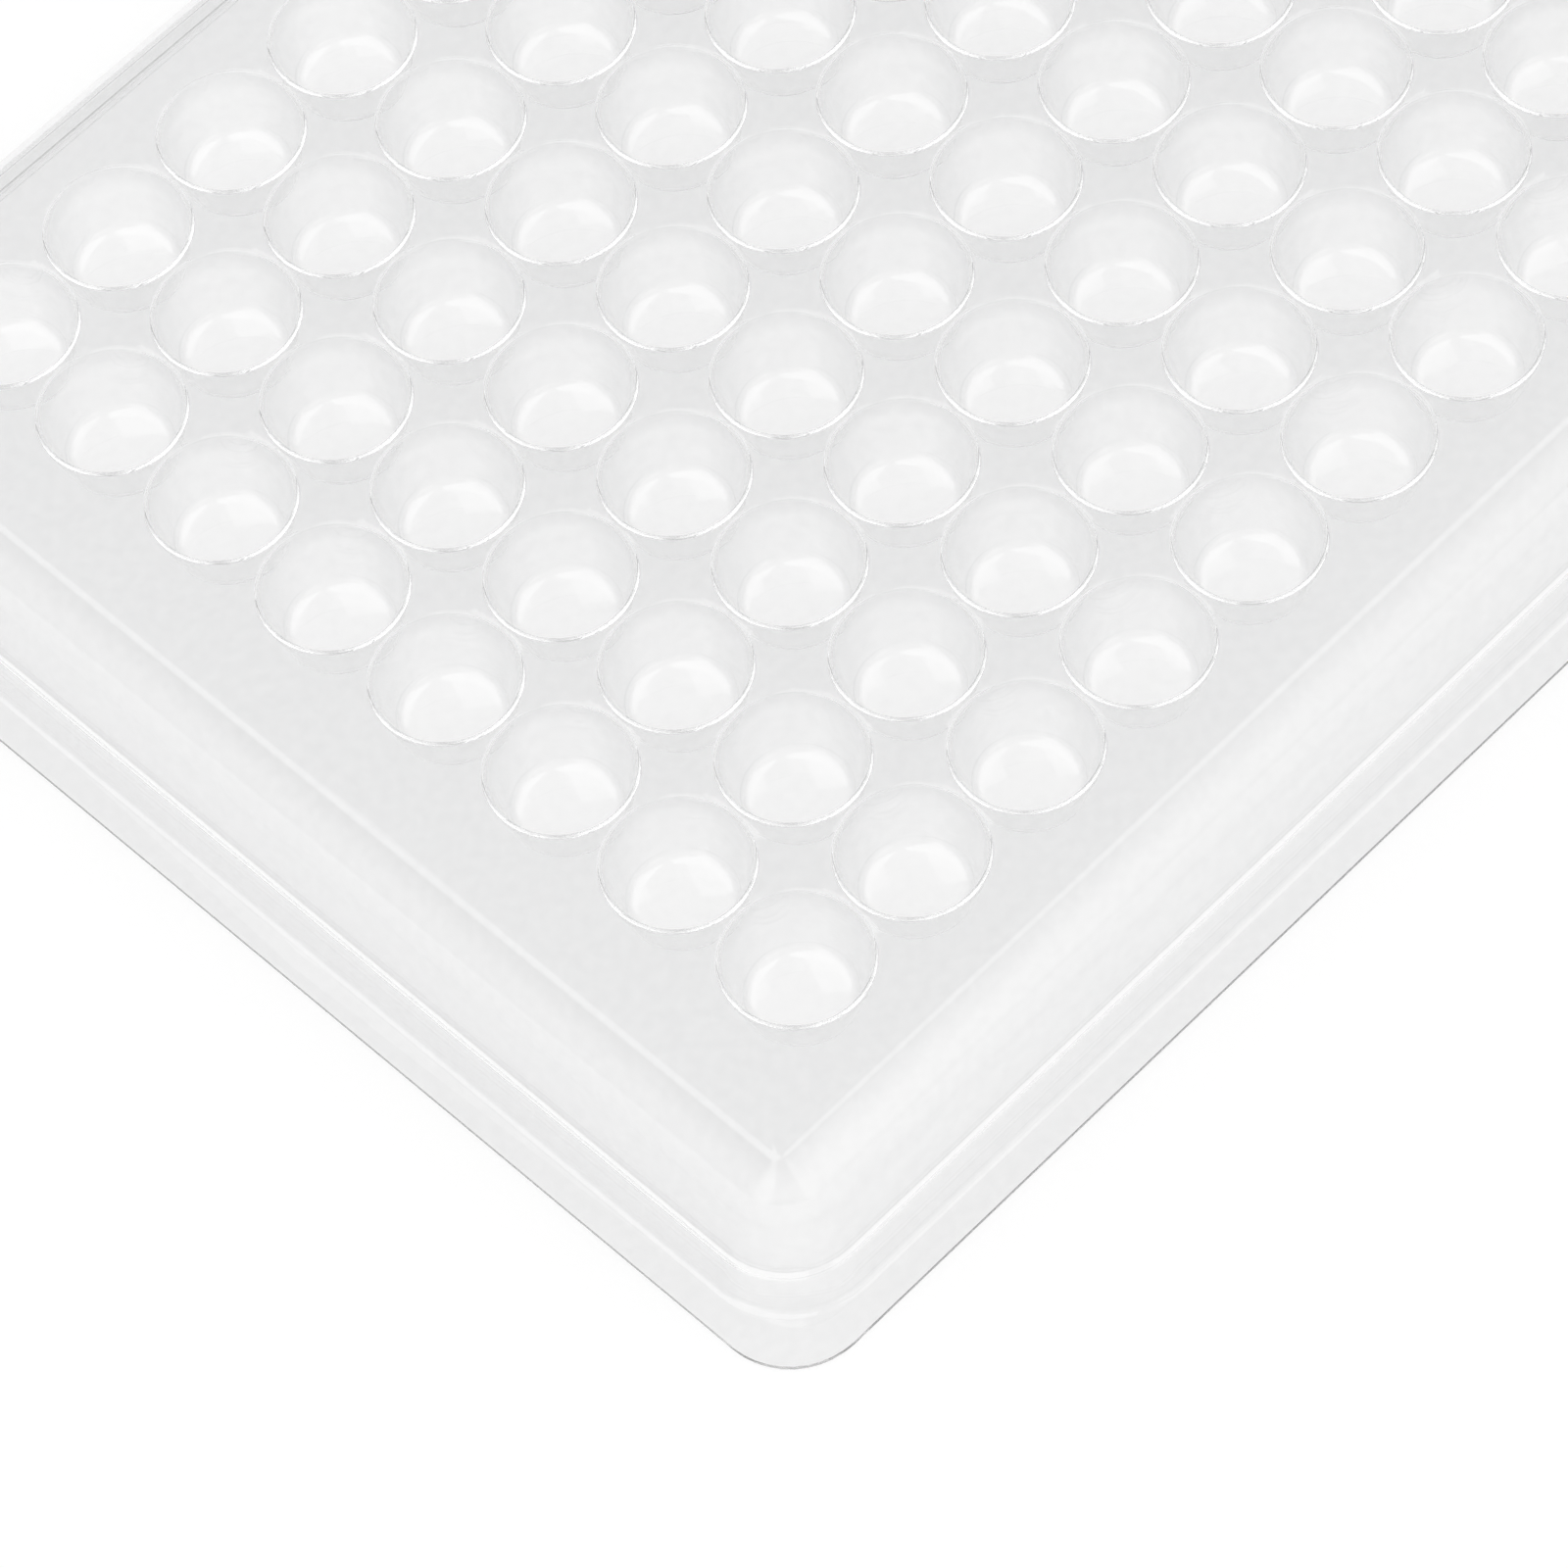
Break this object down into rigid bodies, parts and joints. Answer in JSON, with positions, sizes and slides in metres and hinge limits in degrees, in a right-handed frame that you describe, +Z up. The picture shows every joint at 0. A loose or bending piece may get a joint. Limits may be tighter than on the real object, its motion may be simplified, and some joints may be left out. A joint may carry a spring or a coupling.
{
  "type": "well plate",
  "caption": "Clear thin-walled plastic well plate: a grid of shallow tapered cups in a flat deck, with sloped skirt and flat base flange.",
  "frame": {"origin": "middle of the flange's underside, on the surface the plate stands on", "axes": "+X along the longer side, the direction of the rows of twelve wells; +Y along the shorter side; +Z up, out of the wells' mouths"},
  "size_m": [0.1314, 0.0922, 0.0096],
  "materials": {
    "clear_plastic": "clear colourless sheet, glossy on both sides"
  },
  "bodies": {
    "root": {"well_plate": "clear_plastic"}
  },
  "joints": []
}
